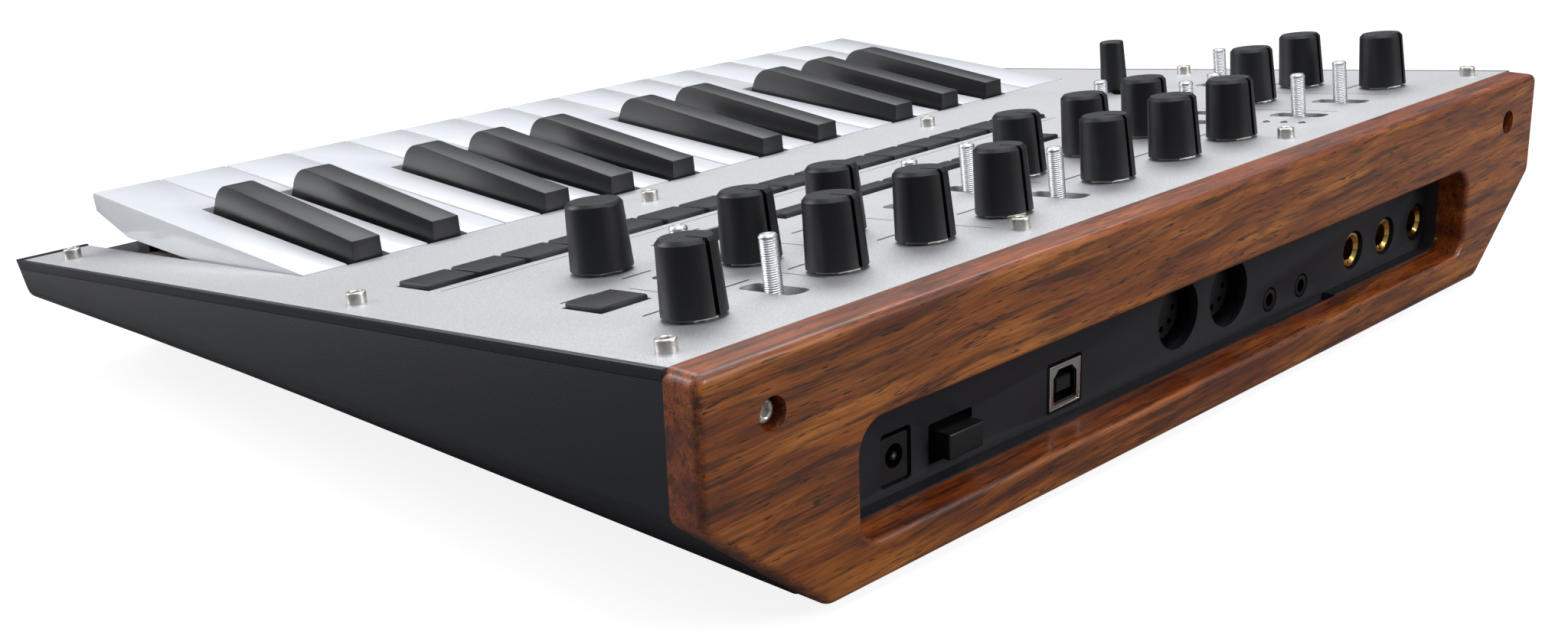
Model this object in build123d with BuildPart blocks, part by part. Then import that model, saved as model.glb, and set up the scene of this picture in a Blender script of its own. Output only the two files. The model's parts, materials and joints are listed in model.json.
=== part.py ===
from build123d import *
import os
import math

os.makedirs("parts", exist_ok=True)

# A 25-key slim-key desktop synthesizer. +Z is up, the player sits at -Y and the sockets are at +Y.
# The origin is under the middle of the whole box, on the table the feet stand on.

# ---------------------------------------------------------------- driving dimensions (mm)
WIDTH = 350.0
Y_FRONT = -137.0
Y_CASE_REAR = 128.0
Y_REAR = 137.0
FOOT = 2.0
SLOPE = 6.05
PANEL_Z0 = 45.24
PLATE_T = 2.0
PLATE_INSET = 1.5
SEAM = 4.0
LAP_SEAM = 2.3
LAP_T = 1.25
RIM_RISE = 0.35
BOTTOM_X = 143.0
SIDE_LOW_FRONT = 21.8
SIDE_LOW_REAR = 28.8
CASE_WALL = 2.5
FLOOR_TOP = 4.5
Y_JACK_WALL = 124.5
Y_CAVITY_REAR = 122.0
Y_CAVITY_FRONT = -128.5
BEYOND = 500.0

KEYS_X = 1.7
KEYS_HALF = 153.3
Y_KEYS_REAR = -23.5
WHITE_PITCH = 20.4
WHITE_GAP = 0.9
Y_WHITE_FRONT = -130.0
Y_WHITE_REAR = -24.6
Z_WHITE_FRONT = 46.9
Z_WHITE_REAR = 42.7
KEY_SKIN = 1.8
BLACK_W = 8.6
NOTCH_W = 12.4
Y_BLACK_FRONT = -91.6
Y_NOTCH_FRONT = -93.4
Y_TAIL_END = 3.4
TAIL_W = 8.0
BLACK_TAIL_W = 7.2
Z_PIVOT = 36.0
ROD_R = 1.6
ROD_GAP = 0.08
KEYBED_Z = 24.0
KEYBED_TOP = 26.5
FRAME_HALF = 152.1
Y_GUIDE = -109.0
CHEEK_X = 151.5

KNOB_R = 6.9
KNOB_TOP_R = 6.2
KNOB_TOP = 16.3
KNOB_LIFT = 0.8
SHAFT_R = 3.0
NUT_R = 4.7
NUT_T = 0.5
PLATE_SCREW_R = 2.25
PLATE_SCREW_H = 2.6
WOOD_SCREW_R = 2.5
WOOD_SCREW_H = 1.8
Y_WOOD_SCREW = 133.0
BOARD_TOP = -12.0
BOARD_T = 1.6
SWITCH_L = 17.0

LEVER_R = 2.1
LEVER_TOP = 11.8
LEVER_PIVOT = -9.0
SLOT_L = 17.4
SLOT_W = 6.0
SLOT_CORNER = 2.4

CUT_HALF = 132.5
CUT_Z0 = 11.5
CUT_Z1 = 37.3
WOOD_TOP = 58.9

tan_s = math.tan(math.radians(SLOPE))
cos_s = math.cos(math.radians(SLOPE))


def plate_z(y):
    return PANEL_Z0 + y * tan_s


def panel(x, y, lift=0.0, turn=0.0):
    # a plane on the sloping panel at plan position x, y, raised by lift along the panel normal
    base = Plane(origin=(0, 0, PANEL_Z0), x_dir=(1, 0, 0), z_dir=(0, -math.sin(math.radians(SLOPE)), cos_s))
    spot = base.from_local_coords(Vector(x, y / cos_s, lift))
    across = base.x_dir * math.cos(math.radians(turn)) + base.y_dir * math.sin(math.radians(turn))
    return Plane(origin=spot, x_dir=across, z_dir=base.z_dir)


def section(y):
    # a plane facing the front at depth y, its local axes are the object's x and z
    return Plane(origin=(0, y, 0), x_dir=(1, 0, 0), z_dir=(0, -1, 0))


def rear_view(y):
    # a plane facing the rear at depth y, its local x runs to the object's -x
    return Plane(origin=(0, y, 0), x_dir=(-1, 0, 0), z_dir=(0, 1, 0))


def side(x):
    # a plane facing +x, its local axes are the object's y and z
    return Plane(origin=(x, 0, 0), x_dir=(0, 1, 0), z_dir=(1, 0, 0))


def six_sided(bottom_half, side_low, top, half=WIDTH / 2, bottom=FOOT):
    # corners of a cross-section with a flat bottom, slanted lower sides and upright upper sides
    return [
        (-bottom_half, bottom), (bottom_half, bottom), (half, side_low), (half, top), (-half, top),
        (-half, side_low),
    ]


def at_height(sketch, z):
    # corners of a cross-section sketch at one height
    return [v for v in sketch.vertices() if abs(v.Y - z) < 0.01]


# the slanted lip under the player's edge, as the corners of what it cuts away
LIP_CUT = [(-137, 30.72), (-132.5, 23), (-131, 0), (-145, 0), (-145, 30.72)]


# ---------------------------------------------------------------- layout on the panel
screw_spots = [
    (-166, -121.5), (166, -121.5), (-166, 17), (166, 17), (-165.5, 119), (165.5, 119),
    (-58, -7), (58, -7), (-58, 118.5), (58, 118.5),
]
knob_spots = [
    ("volume", 145, 104.5), ("rear_2", 103.5, 104.5), ("rear_3", 74.5, 104.5), ("rear_4", 46, 104.5),
    ("rear_5", 4, 104.5), ("rear_6", -26, 104.5), ("rear_7", -54.5, 104), ("master", -142, 103),
    ("middle_1", 104, 79), ("middle_2", 75, 78), ("middle_3", 4, 77), ("middle_4", -26, 76.7),
    ("middle_5", -54.5, 76.5), ("middle_6", -112, 76.4), ("middle_7", -142, 75.6),
]
encoder_spot = ("encoder", 123.5, 50.7)
lever_rows = [
    ("toggle_levers_rear", 103.6, [122, 24, -91, -115]),
    ("toggle_levers_middle", 76.3, [122, 46, 24, -76, -91]),
    ("toggle_levers_front", 46.5, [-76, -142]),
]
led_spots = [(-79.3, 100.0), (-79.3, 105.6), (-79.3, 111.2)]
STEP_PITCH = 14.4
STEP_W = 12.7
STEP_D = 11.9
STEP_Y = 18.3
STEP_X0 = 145.4
FUNC_PITCH = 14.2
FUNC_W = 12.5
FUNC_D = 6.0
FUNC_Y = 49.0
FUNC_X0 = 59.55
HOLD_X = 144.4
HOLD_Y = 76.8
HOLD_W = 12.4
HOLD_D = 11.9
BUTTON_RISE = 1.15
BUTTON_DEPTH = 2.6
STUD_R = 1.6
STUD_FOOT = -10.4
GAP_X = 0.7
GAP_Y = 0.55
DISPLAY_X = 86.3
DISPLAY_Y = 47.3
DISPLAY_W = 28.6
DISPLAY_D = 13.4
SLIDER_X = -127.5
SLIDER_Y = 15.0
SLIDER_TURN = 45.0
SLIDER_SLOT = 19.5
SLIDER_SLOT_W = 3.2

# ---------------------------------------------------------------- layout along the rear
BOARD_Z = 8.0
SOCKET_FLOOR = BOARD_Z + BOARD_T
INLET_X = 108.4
INLET_Z = 20.0
SWITCH_X = 90.4
SWITCH_Z = 19.2
USB_X = 48.9
USB_Z = 19.4
midi_xs = (1.3, -22.2)
MIDI_Z = 24.0
MIDI_R = 9.0
MIDI_DISC_R = 7.3
MIDI_DISC_Y = 119.6
sync_xs = (-43.2, -59.6)
SYNC_Z = 16.9
SYNC_BORE_R = 1.8
audio_xs = (-88.2, -107.0, -126.1)
AUDIO_Z = 20.5
BUSHING_R = 4.8
AUDIO_BORE_R = 3.25
WOOD_SCREW_X = 156.4
WOOD_SCREW_Z = 47.0

# ---------------------------------------------------------------- lower case with its rear socket wall
with BuildPart() as bottom_case:
    with BuildSketch(section(Y_FRONT)) as front_hex:
        with BuildLine():
            Polyline(*six_sided(BOTTOM_X, SIDE_LOW_FRONT, plate_z(Y_FRONT)), close=True)
        make_face()
        fillet(at_height(front_hex, FOOT), 4.5)
        fillet(at_height(front_hex, SIDE_LOW_FRONT), 3.5)
    with BuildSketch(section(Y_CASE_REAR)) as rear_hex:
        with BuildLine():
            Polyline(*six_sided(BOTTOM_X, SIDE_LOW_REAR, plate_z(Y_CASE_REAR)), close=True)
        make_face()
        fillet(at_height(rear_hex, FOOT), 4.5)
        fillet(at_height(rear_hex, SIDE_LOW_REAR), 3.5)
    loft(ruled=True)
    # the room inside
    with BuildSketch(section(Y_CAVITY_FRONT)):
        with BuildLine():
            Polyline(*six_sided(142.3, 23.4, 90, WIDTH / 2 - CASE_WALL, FLOOR_TOP), close=True)
        make_face()
    with BuildSketch(section(Y_CAVITY_REAR)):
        with BuildLine():
            Polyline(*six_sided(142.1, 29.9, 90, WIDTH / 2 - CASE_WALL, FLOOR_TOP), close=True)
        make_face()
    loft(ruled=True, mode=Mode.SUBTRACT)
    with BuildSketch(side(-WIDTH)):
        with BuildLine():
            Polyline(*LIP_CUT, close=True)
        make_face()
    extrude(amount=2 * WIDTH, mode=Mode.SUBTRACT)
    # open top, cut along the seam under the plate; the long sides lap over the upper frame
    with BuildSketch(panel(0, 0, -SEAM)):
        Rectangle(WIDTH - 2 * LAP_T, BEYOND)
    extrude(amount=60, mode=Mode.SUBTRACT)
    with BuildSketch(panel(0, 0, -LAP_SEAM)):
        Rectangle(BEYOND, BEYOND)
    extrude(amount=60, mode=Mode.SUBTRACT)
    # the socket recess at the rear, with its step under the two small sockets
    with BuildSketch(rear_view(Y_JACK_WALL)) as recess_outline:
        with Locations((0, (CUT_Z0 + 0.4 + CUT_Z1) / 2)):
            Rectangle(2 * CUT_HALF, CUT_Z1 - CUT_Z0 - 0.4)
        fillet(recess_outline.vertices().group_by(Axis.Y)[-1], 7)
        fillet(at_height(recess_outline, CUT_Z0 + 0.4), 5)
    extrude(amount=10, mode=Mode.SUBTRACT)
    with BuildSketch(rear_view(Y_JACK_WALL)):
        with Locations((55, 11.5)):
            Rectangle(34.4, 3.0)
    extrude(amount=10, mode=Mode.SUBTRACT)
    # openings for the sockets
    with BuildSketch(rear_view(Y_CAVITY_REAR - 1)):
        with Locations((-INLET_X, 19.85)):
            RectangleRounded(9.8, 12.3, 1.2)
        with Locations((-SWITCH_X, SWITCH_Z)):
            RectangleRounded(14.8, 9.2, 0.8)
        with Locations((-USB_X, USB_Z)):
            RectangleRounded(13.6, 12.4, 0.8)
        with Locations([(-x, MIDI_Z) for x in midi_xs]):
            Circle(MIDI_R)
        with Locations([(-x, SYNC_Z) for x in sync_xs]):
            Circle(3.4)
        with Locations([(-x, AUDIO_Z) for x in audio_xs]):
            Circle(5.6)
    extrude(amount=5, mode=Mode.SUBTRACT)
    # holes that the two wood screws bite into
    with BuildSketch(rear_view(Y_CAVITY_REAR - 1)):
        with Locations((-WOOD_SCREW_X, WOOD_SCREW_Z), (WOOD_SCREW_X, WOOD_SCREW_Z)):
            Circle(2.02)
    extrude(amount=20, mode=Mode.SUBTRACT)
    # posts carrying the main board
    with BuildSketch(Plane.XY.offset(4.4)):
        with GridLocations(110, 44, 3, 2):
            with Locations((0, 88)):
                Circle(3)
    extrude(amount=3.6)
bottom_case.part.label = "bottom_case"
export_step(bottom_case.part, "parts/bottom_case.step")

# ---------------------------------------------------------------- upper frame the plate lies in
with BuildPart() as upper_frame:
    with BuildSketch(panel(0, 0, -SEAM)):
        Rectangle(WIDTH - 2 * LAP_T - 0.1, BEYOND)
    extrude(amount=SEAM - LAP_SEAM + 0.1)
    with BuildSketch(panel(0, 0, -LAP_SEAM + 0.1)):
        Rectangle(WIDTH, BEYOND)
    extrude(amount=LAP_SEAM - 0.1)
    # the front rim stands a little proud of the plate
    with BuildSketch(panel(0, Y_FRONT, 0)):
        Rectangle(WIDTH, 3)
    extrude(amount=RIM_RISE)
    # vertical front and rear ends
    with BuildSketch(Plane.XY.offset(0)):
        with Locations((0, (Y_FRONT + Y_CASE_REAR) / 2)):
            Rectangle(WIDTH, Y_CASE_REAR - Y_FRONT)
    extrude(amount=100, mode=Mode.INTERSECT)
    # pocket for the plate
    with BuildSketch(panel(0, 0, -PLATE_T)):
        with Locations((0, (-135.5 + 140) / 2 / cos_s)):
            Rectangle(WIDTH - 2 * PLATE_INSET, 275.5 / cos_s)
    extrude(amount=10, mode=Mode.SUBTRACT)
    # room for the keys, and behind them for the controls
    with BuildSketch(panel(0, 0, -10)):
        with Locations((0, (-112.8 - 14) / 2 / cos_s)):
            Rectangle(2 * 157.5, (112.8 - 14) / cos_s)
        with Locations((0, (-1.5 + 113) / 2 / cos_s)):
            Rectangle(2 * 159.5, 114.5 / cos_s)
    extrude(amount=20, mode=Mode.SUBTRACT)
    # low bar in front of the keys
    with BuildSketch(panel(0, 0, -PLATE_T)):
        with Locations((KEYS_X, -140 / cos_s)):
            Rectangle(2 * KEYS_HALF, 60)
    extrude(amount=10, mode=Mode.SUBTRACT)
    # the slanted lip, carried on from the lower case
    with BuildSketch(side(-WIDTH)):
        with BuildLine():
            Polyline(*LIP_CUT, close=True)
        make_face()
    extrude(amount=2 * WIDTH, mode=Mode.SUBTRACT)
    for sx, sy in screw_spots:
        with BuildSketch(panel(sx, sy, -20)):
            Circle(1.22)
        extrude(amount=30, mode=Mode.SUBTRACT)
upper_frame.part.label = "upper_frame"
export_step(upper_frame.part, "parts/upper_frame.step")

# ---------------------------------------------------------------- aluminium control plate
with BuildPart() as top_plate:
    with BuildSketch(panel(0, 0, -PLATE_T)):
        Rectangle(WIDTH - 2 * PLATE_INSET - 0.1, BEYOND)
    extrude(amount=PLATE_T)
    with BuildSketch(Plane.XY):
        with Locations((0, (-135.2 + 127.9) / 2)):
            Rectangle(WIDTH, 127.9 + 135.2)
    extrude(amount=100, mode=Mode.INTERSECT)
    with BuildSketch(panel(0, 0, -10)):
        with Locations((KEYS_X, (-140 + Y_KEYS_REAR) / 2 / cos_s)):
            Rectangle(2 * KEYS_HALF, (140 + Y_KEYS_REAR) / cos_s)
        with Locations((STEP_X0 - 7.5 * STEP_PITCH, STEP_Y / cos_s)):
            Rectangle(15 * STEP_PITCH + STEP_W + 2 * GAP_X, STEP_D + 2 * GAP_Y)
        with Locations((FUNC_X0 - 3.5 * FUNC_PITCH, FUNC_Y / cos_s)):
            Rectangle(7 * FUNC_PITCH + FUNC_W + 2 * GAP_X, FUNC_D + 2 * GAP_Y)
        with Locations((HOLD_X, HOLD_Y / cos_s)):
            Rectangle(HOLD_W + 2 * GAP_X, HOLD_D + 2 * GAP_Y)
        with Locations((DISPLAY_X, DISPLAY_Y / cos_s)):
            RectangleRounded(DISPLAY_W, DISPLAY_D, 1)
        with Locations([(x, y / cos_s) for name, x, y in knob_spots + [encoder_spot]]):
            Circle(4.0)
        with Locations([(x, y / cos_s) for x, y in led_spots]):
            Circle(1.2)
        with Locations([(x, y / cos_s) for x, y in screw_spots]):
            Circle(1.35)
        for name, row_y, xs in lever_rows:
            with Locations([(x, row_y / cos_s) for x in xs]):
                RectangleRounded(SLOT_W, SLOT_L, SLOT_CORNER)
        with Locations((SLIDER_X, SLIDER_Y / cos_s)):
            SlotOverall(SLIDER_SLOT, SLIDER_SLOT_W, rotation=SLIDER_TURN)
    extrude(amount=20, mode=Mode.SUBTRACT)
top_plate.part.label = "top_plate"
export_step(top_plate.part, "parts/top_plate.step")

# ---------------------------------------------------------------- wooden rear panel
with BuildPart() as rear_wood_panel:
    with BuildSketch(rear_view(Y_CASE_REAR)) as wood_outline:
        with BuildLine():
            Polyline(*six_sided(BOTTOM_X - 0.5, SIDE_LOW_REAR, WOOD_TOP), close=True)
        make_face()
        fillet(at_height(wood_outline, FOOT), 5)
        fillet(at_height(wood_outline, SIDE_LOW_REAR), 4)
        fillet(at_height(wood_outline, WOOD_TOP), 2.5)
    extrude(amount=Y_REAR - Y_CASE_REAR)
    fillet(rear_wood_panel.faces().sort_by(Axis.Y)[-1].edges(), 1.9)
    with BuildSketch(rear_view(Y_CASE_REAR)) as wood_window:
        with Locations((0, (CUT_Z0 + CUT_Z1) / 2)):
            Rectangle(2 * CUT_HALF, CUT_Z1 - CUT_Z0)
        fillet(wood_window.vertices().group_by(Axis.Y)[-1], 7)
        fillet(at_height(wood_window, CUT_Z0), 5.4)
    extrude(amount=20, mode=Mode.SUBTRACT)
    rear_face = rear_wood_panel.faces().sort_by(Axis.Y)[-1]
    fillet(rear_face.inner_wires().sort_by(lambda w: w.length)[-1].edges(), 1.5)
    with Locations(rear_view(Y_REAR)):
        with Locations((-WOOD_SCREW_X, WOOD_SCREW_Z), (WOOD_SCREW_X, WOOD_SCREW_Z)):
            CounterBoreHole(radius=2.2, counter_bore_radius=3.5, counter_bore_depth=4.0, depth=9.0)
rear_wood_panel.part.label = "rear_wood_panel"
export_step(rear_wood_panel.part, "parts/rear_wood_panel.step")

# ---------------------------------------------------------------- screws and knob nuts
with BuildPart() as fasteners:
    for sx, sy in screw_spots:
        with BuildSketch(panel(sx, sy, 0)):
            Circle(PLATE_SCREW_R)
        extrude(amount=PLATE_SCREW_H)
        with BuildSketch(panel(sx, sy, 1.2)):
            RegularPolygon(radius=1.0, side_count=6, major_radius=False)
        extrude(amount=2, mode=Mode.SUBTRACT)
        with BuildSketch(panel(sx, sy, 0)):
            Circle(1.2)
        extrude(amount=-4.0)
    with BuildSketch(rear_view(Y_WOOD_SCREW)):
        with Locations((-WOOD_SCREW_X, WOOD_SCREW_Z), (WOOD_SCREW_X, WOOD_SCREW_Z)):
            Circle(WOOD_SCREW_R)
    extrude(amount=WOOD_SCREW_H)
    with BuildSketch(rear_view(Y_WOOD_SCREW + 0.6)):
        with Locations((-WOOD_SCREW_X, WOOD_SCREW_Z), (WOOD_SCREW_X, WOOD_SCREW_Z)):
            RegularPolygon(radius=1.25, side_count=6, major_radius=False)
    extrude(amount=3, mode=Mode.SUBTRACT)
    with BuildSketch(rear_view(Y_WOOD_SCREW)):
        with Locations((-WOOD_SCREW_X, WOOD_SCREW_Z), (WOOD_SCREW_X, WOOD_SCREW_Z)):
            Circle(2.0)
    extrude(amount=-9.5)
    for name, kx, ky in knob_spots + [encoder_spot]:
        with BuildSketch(panel(kx, ky, 0)):
            RegularPolygon(radius=NUT_R, side_count=6, major_radius=False)
            Circle(3.4, mode=Mode.SUBTRACT)
        extrude(amount=NUT_T)
fasteners.part.label = "fasteners"
export_step(fasteners.part, "parts/fasteners.step")

# ---------------------------------------------------------------- rubber feet
with BuildPart() as rubber_feet:
    with BuildSketch(Plane.XY):
        with Locations((-120, -105), (120, -105), (-120, 105), (120, 105)):
            Circle(8)
    extrude(amount=FOOT)
    chamfer(rubber_feet.faces().group_by(Axis.Z)[0].edges(), 0.5)
rubber_feet.part.label = "rubber_feet"
export_step(rubber_feet.part, "parts/rubber_feet.step")

# ---------------------------------------------------------------- keys: layout first
WHITE_NAMES = ["e3", "d3", "c3", "b2", "a2", "g2", "f2", "e2", "d2", "c2", "b1", "a1", "g1", "f1", "e1"]
# a black key lies right of the white key of this index, shifted from the joint by the second number
black_layout = [
    ("d3_sharp", 1, 1.5), ("c3_sharp", 2, -1.9), ("a2_sharp", 4, 2.5), ("g2_sharp", 5, -0.2),
    ("f2_sharp", 6, -2.9), ("d2_sharp", 8, 1.5), ("c2_sharp", 9, -1.9), ("a1_sharp", 11, 2.5),
    ("g1_sharp", 12, -0.2), ("f1_sharp", 13, -2.9),
]
X_KEYS_RIGHT = KEYS_X + 7.5 * WHITE_PITCH
blacks = [(name, X_KEYS_RIGHT - WHITE_PITCH * i + shift) for name, i, shift in black_layout]


def neck(i):
    # the edges of a white key's rear part, between its neighbours' notches
    right = X_KEYS_RIGHT - WHITE_PITCH * i - WHITE_GAP / 2
    left = X_KEYS_RIGHT - WHITE_PITCH * (i + 1) + WHITE_GAP / 2
    for name, bx in blacks:
        if abs(bx - right) < 8:
            right = min(right, bx - NOTCH_W / 2)
        if abs(bx - left) < 8:
            left = max(left, bx + NOTCH_W / 2)
    return left, right


# the arm behind every key, up to the pivot, seen from the side
KEY_TAIL = [
    (-27.5, 41.0), (-25.4, 38.9), (Y_TAIL_END, 38.9), (Y_TAIL_END, 33.4), (-4.0, 33.4), (-27.5, 36.1),
]

for i in range(len(WHITE_NAMES)):
    x_right = X_KEYS_RIGHT - WHITE_PITCH * i - WHITE_GAP / 2
    x_left = X_KEYS_RIGHT - WHITE_PITCH * (i + 1) + WHITE_GAP / 2
    neck_left, neck_right = neck(i)
    neck_mid = (neck_left + neck_right) / 2
    with BuildPart() as white_key:
        with BuildSketch(side(x_left)):
            with BuildLine():
                Polyline(
                    (Y_WHITE_FRONT, Z_WHITE_FRONT), (Y_WHITE_REAR, Z_WHITE_REAR), (Y_WHITE_REAR, 36.0),
                    (-112.5, 36.9), (-128.9, 41.7), close=True,
                )
            make_face()
        extrude(amount=x_right - x_left)
        top_face = white_key.faces().sort_by(Axis.Z)[-1]
        chamfer(top_face.edges().sort_by(Axis.Y)[0], 0.9)
        # hollow underneath
        with BuildSketch(side(x_left + KEY_SKIN)):
            with BuildLine():
                Polyline(
                    (-127.0, 44.6), (-26.4, 40.6), (-26.4, 34.0), (-112.0, 34.0), (-127.0, 39.0),
                    close=True,
                )
            make_face()
        extrude(amount=x_right - x_left - 2 * KEY_SKIN, mode=Mode.SUBTRACT)
        # notches beside the black keys
        for name, bx in blacks:
            if abs(bx - x_right) < 8 or abs(bx - x_left) < 8:
                with BuildSketch(Plane.XY.offset(30)):
                    with Locations((bx, (Y_NOTCH_FRONT + 10) / 2)):
                        Rectangle(NOTCH_W, 10 - Y_NOTCH_FRONT)
                extrude(amount=30, mode=Mode.SUBTRACT)
        # walls closing the notched sides
        for wall_x in (neck_left, neck_right - KEY_SKIN):
            with BuildSketch(side(wall_x)):
                with BuildLine():
                    Polyline(
                        (Y_NOTCH_FRONT - KEY_SKIN, 44.8), (Y_WHITE_REAR, 42.0), (Y_WHITE_REAR, 36.4),
                        (Y_NOTCH_FRONT - KEY_SKIN, 37.0), close=True,
                    )
                make_face()
            extrude(amount=KEY_SKIN)
        # tail with the pivot bore
        with BuildSketch(side(neck_mid - TAIL_W / 2)):
            with BuildLine():
                Polyline(*KEY_TAIL, close=True)
            make_face()
        extrude(amount=TAIL_W)
        with BuildSketch(side(neck_mid - TAIL_W)):
            with Locations((0, Z_PIVOT)):
                Circle(ROD_R + ROD_GAP)
        extrude(amount=2 * TAIL_W, mode=Mode.SUBTRACT)
    white_key.part.label = "white_key_" + WHITE_NAMES[i]
    export_step(white_key.part, "parts/white_key_" + WHITE_NAMES[i] + ".step")

for name, bx in blacks:
    with BuildPart() as black_key:
        with BuildSketch(Plane(origin=(bx, 0, 42.0), x_dir=(1, 0, 0), z_dir=(0, 0, 1))):
            with Locations((0, (Y_BLACK_FRONT + Y_WHITE_REAR) / 2)):
                Rectangle(BLACK_W, Y_WHITE_REAR - Y_BLACK_FRONT)
        extrude(amount=13, taper=2.6)
        # top runs up towards the player and drops steeply at the front
        with BuildSketch(side(bx - 10)):
            with BuildLine():
                Line((-24.0, 47.75), (-81.0, 53.0))
                ThreePointArc((-81.0, 53.0), (-86.6, 51.6), (-89.7, 47.4))
                Line((-89.7, 47.4), (-91.9, 41.9))
                Polyline(
                    (-91.9, 41.9), (-102, 41.9), (-102, 60), (-20, 60), (-20, 47.75), (-24.0, 47.75),
                )
            make_face()
        extrude(amount=20, mode=Mode.SUBTRACT)
        # lower body and tail
        with BuildSketch(side(bx - BLACK_W / 2)):
            with BuildLine():
                Polyline(
                    (-91.4, 42.0), (Y_WHITE_REAR, 42.0), (Y_WHITE_REAR, 36.2), (-82.0, 38.6),
                    (-91.4, 39.6), close=True,
                )
            make_face()
        extrude(amount=BLACK_W)
        with BuildSketch(side(bx - BLACK_TAIL_W / 2)):
            with BuildLine():
                Polyline(*KEY_TAIL, close=True)
            make_face()
        extrude(amount=BLACK_TAIL_W)
        # hollow underneath
        with BuildSketch(side(bx - BLACK_W / 2 + 1.6)):
            with BuildLine():
                Polyline((-84.0, 48.8), (-30.0, 43.8), (-30.0, 30.0), (-84.0, 30.0), close=True)
            make_face()
        extrude(amount=BLACK_W - 3.2, mode=Mode.SUBTRACT)
        with BuildSketch(side(bx - 8)):
            with Locations((0, Z_PIVOT)):
                Circle(ROD_R + ROD_GAP)
        extrude(amount=16, mode=Mode.SUBTRACT)
    black_key.part.label = "black_key_" + name
    export_step(black_key.part, "parts/black_key_" + name + ".step")

# ---------------------------------------------------------------- frame under the keys, with its hinge rail
with BuildPart() as keybed_frame:
    with BuildSketch(Plane.XY.offset(KEYBED_Z)):
        with Locations((KEYS_X, -51.5)):
            Rectangle(2 * FRAME_HALF, 121)
    extrude(amount=KEYBED_TOP - KEYBED_Z)
    # front beam with a post reaching into each white key
    with BuildSketch(Plane.XY.offset(KEYBED_TOP)):
        with Locations((KEYS_X, Y_GUIDE)):
            Rectangle(2 * FRAME_HALF, 6)
    extrude(amount=6.4)
    for i in range(len(WHITE_NAMES)):
        with BuildSketch(Plane.XY.offset(KEYBED_TOP)):
            with Locations((X_KEYS_RIGHT - WHITE_PITCH * (i + 0.5), Y_GUIDE)):
                Rectangle(14.8, 6)
        extrude(amount=12.0)
    # end cheeks, and lugs between the tails of neighbouring white keys, that hold the hinge rail
    lugs = [(KEYS_X + CHEEK_X, 1.2), (KEYS_X - CHEEK_X, 1.2)]
    lugs += [(X_KEYS_RIGHT - WHITE_PITCH * i, 2.4) for i in (3, 7, 10, 14)]
    for cx, cw in lugs:
        with BuildSketch(side(cx - cw / 2)):
            with BuildLine():
                Polyline((-4, KEYBED_TOP), (6, KEYBED_TOP), (3.0, 38.6), (-3.0, 38.6), close=True)
            make_face()
        extrude(amount=cw)
    with BuildSketch(side(KEYS_X - FRAME_HALF)):
        with Locations((0, Z_PIVOT)):
            Circle(ROD_R)
    extrude(amount=2 * FRAME_HALF)
    # legs down to the floor of the lower case
    with BuildSketch(Plane.XY.offset(FLOOR_TOP)):
        with GridLocations(130, 96, 3, 2):
            with Locations((0, -53)):
                Rectangle(8, 8)
    extrude(amount=KEYBED_Z + 0.1 - FLOOR_TOP)
keybed_frame.part.label = "keybed_frame"
export_step(keybed_frame.part, "parts/keybed_frame.step")

with BuildPart() as key_felt:
    with BuildSketch(Plane.XY.offset(KEYBED_TOP)):
        with Locations((KEYS_X, -99.8)):
            Rectangle(2 * (FRAME_HALF - 0.4), 11.6)
    extrude(amount=6.9)
key_felt.part.label = "key_felt"
export_step(key_felt.part, "parts/key_felt.step")

# ---------------------------------------------------------------- circuit boards with the control bodies
with BuildPart() as circuit_boards:
    # board under the panel, main board under the sockets, contact board under the keys
    with BuildSketch(panel(0, 0, BOARD_TOP - BOARD_T)):
        with Locations((0, (9 + 118) / 2 / cos_s)):
            Rectangle(2 * 162, 109 / cos_s)
    extrude(amount=BOARD_T)
    with BuildSketch(Plane.XY.offset(BOARD_Z)):
        with Locations((0, 89)):
            Rectangle(2 * 136, 64)
    extrude(amount=BOARD_T)
    with BuildSketch(Plane.XY.offset(KEYBED_TOP)):
        with Locations((0, -60)):
            Rectangle(2 * 148, 40)
    extrude(amount=BOARD_T)
    # bodies under the knobs, each with the bore its shaft turns in
    for name, kx, ky in knob_spots + [encoder_spot]:
        with BuildSketch(panel(kx, ky, BOARD_TOP)):
            Rectangle(11, 11)
        extrude(amount=7)
        with BuildSketch(panel(kx, ky, BOARD_TOP + 7)):
            Circle(4.6)
        extrude(amount=3)
        with BuildSketch(panel(kx, ky, BOARD_TOP + 1)):
            Circle(SHAFT_R + 0.06)
        extrude(amount=12, mode=Mode.SUBTRACT)
    # switch bodies under the toggles
    for name, row_y, xs in lever_rows:
        for x in xs:
            with BuildSketch(panel(x, row_y, BOARD_TOP)):
                Rectangle(8.4, SWITCH_L)
            extrude(amount=8.4)
            with BuildSketch(panel(x, row_y, BOARD_TOP + 0.5)):
                Rectangle(2 * LEVER_R + 0.6, SWITCH_L - 3)
            extrude(amount=12, mode=Mode.SUBTRACT)
    # slider track
    with BuildSketch(panel(SLIDER_X, SLIDER_Y, BOARD_TOP, SLIDER_TURN)):
        Rectangle(22, 7)
    extrude(amount=8)
    with BuildSketch(panel(SLIDER_X, SLIDER_Y, BOARD_TOP + 1, SLIDER_TURN)):
        Rectangle(SLIDER_SLOT, SLIDER_SLOT_W)
    extrude(amount=12, mode=Mode.SUBTRACT)
circuit_boards.part.label = "circuit_boards"
export_step(circuit_boards.part, "parts/circuit_boards.step")

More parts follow.
